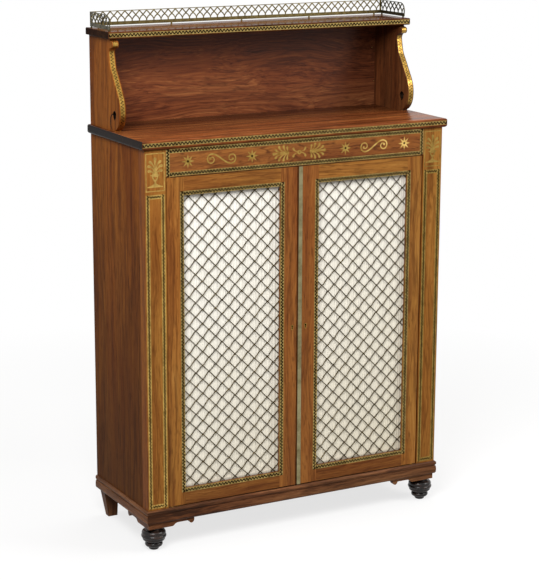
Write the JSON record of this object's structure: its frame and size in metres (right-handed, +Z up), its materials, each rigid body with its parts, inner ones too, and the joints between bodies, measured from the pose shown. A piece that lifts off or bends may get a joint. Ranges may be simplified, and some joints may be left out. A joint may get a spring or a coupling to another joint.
{
  "type": "chiffonier",
  "caption": "Shallow two-door cupboard with wire-fronted, silk-lined doors, an open shelf on S-shaped sides above and a low pierced gallery, on turned front feet.",
  "frame": {"origin": "on the floor, under the middle of the overall box", "axes": "+X to the right-hand door, -Y out of the front, +Z up"},
  "size_m": [0.761, 0.288, 1.1615],
  "materials": {
    "rosewood": "polished veneer with a strong figure",
    "secondary_wood": "plain waxed wood",
    "ebonised": "near-black gloss",
    "brass_inlay": "aged, flush with the veneer",
    "gallery_brass": "aged, pierced sheet",
    "hardware_brass": "plain, worn",
    "wire": "dark tarnished wire",
    "silk": "cream silk, lightly pleated"
  },
  "bodies": {
    "carcase": {"bracket_left": "rosewood", "bracket_right": "rosewood", "carcase_back": "secondary_wood", "carcase_bottom": "secondary_wood", "foot_left": "ebonised", "foot_right": "ebonised", "frieze_border": "brass_inlay", "frieze_motifs": "brass_inlay", "frieze_rail": "rosewood", "gallery_back": "gallery_brass", "gallery_left": "gallery_brass", "gallery_right": "gallery_brass", "inner_shelf": "secondary_wood", "leg_left": "secondary_wood", "leg_right": "secondary_wood", "pivot_seats": "hardware_brass", "plinth_front": "rosewood", "plinth_left": "rosewood", "plinth_right": "rosewood", "post_inlay_left": "brass_inlay", "post_inlay_right": "brass_inlay", "post_left": "rosewood", "post_right": "rosewood", "side_panel_left": "rosewood", "side_panel_right": "rosewood", "top_board": "rosewood", "top_board_inlay": "brass_inlay", "top_shelf": "rosewood", "top_shelf_inlay": "brass_inlay", "upper_back": "rosewood", "upright_inlay_left": "brass_inlay", "upright_inlay_right": "brass_inlay", "upright_left": "rosewood", "upright_right": "rosewood"},
    "door_left": {"door_left_hinge_stile": "rosewood", "door_left_meeting_stile": "rosewood", "door_left_bottom_rail": "rosewood", "door_left_top_rail": "rosewood", "door_left_inlay": "brass_inlay", "door_left_grille": "wire", "door_left_silk": "silk", "door_left_beads": "rosewood", "door_left_escutcheon": "brass_inlay", "door_left_plates": "hardware_brass", "door_pivots_left": "hardware_brass"},
    "door_right": {"door_right_hinge_stile": "rosewood", "door_right_meeting_stile": "rosewood", "door_right_bottom_rail": "rosewood", "door_right_top_rail": "rosewood", "door_right_inlay": "brass_inlay", "door_right_grille": "wire", "door_right_silk": "silk", "door_right_beads": "rosewood", "door_right_escutcheon": "brass_inlay", "meeting_strip": "brass_inlay", "lock_case": "hardware_brass", "door_pivots_right": "hardware_brass"},
    "flush_bolt_top": {"flush_bolt_top": "hardware_brass"},
    "flush_bolt_bottom": {"flush_bolt_bottom": "hardware_brass"},
    "lock_bolt": {"lock_bolt": "hardware_brass"}
  },
  "joints": [
    {"name": "door_left_hinge", "type": "hinge", "parent": "carcase", "child": "door_left", "pos_m": [-0.312, -0.129, 0.1], "axis": [0, 0, -1], "range_deg": [0, 105]},
    {"name": "door_right_hinge", "type": "hinge", "parent": "carcase", "child": "door_right", "pos_m": [0.312, -0.129, 0.1], "axis": [0, 0, 1], "range_deg": [0, 105]},
    {"name": "lock_bolt_slide", "type": "slide", "parent": "door_right", "child": "lock_bolt", "axis": [-1, 0, 0], "range_m": [0, 0.008]},
    {"name": "flush_bolt_top_slide", "type": "slide", "parent": "door_left", "child": "flush_bolt_top", "axis": [0, 0, 1], "range_m": [0, 0.01]},
    {"name": "flush_bolt_bottom_slide", "type": "slide", "parent": "door_left", "child": "flush_bolt_bottom", "axis": [0, 0, -1], "range_m": [0, 0.01]}
  ]
}
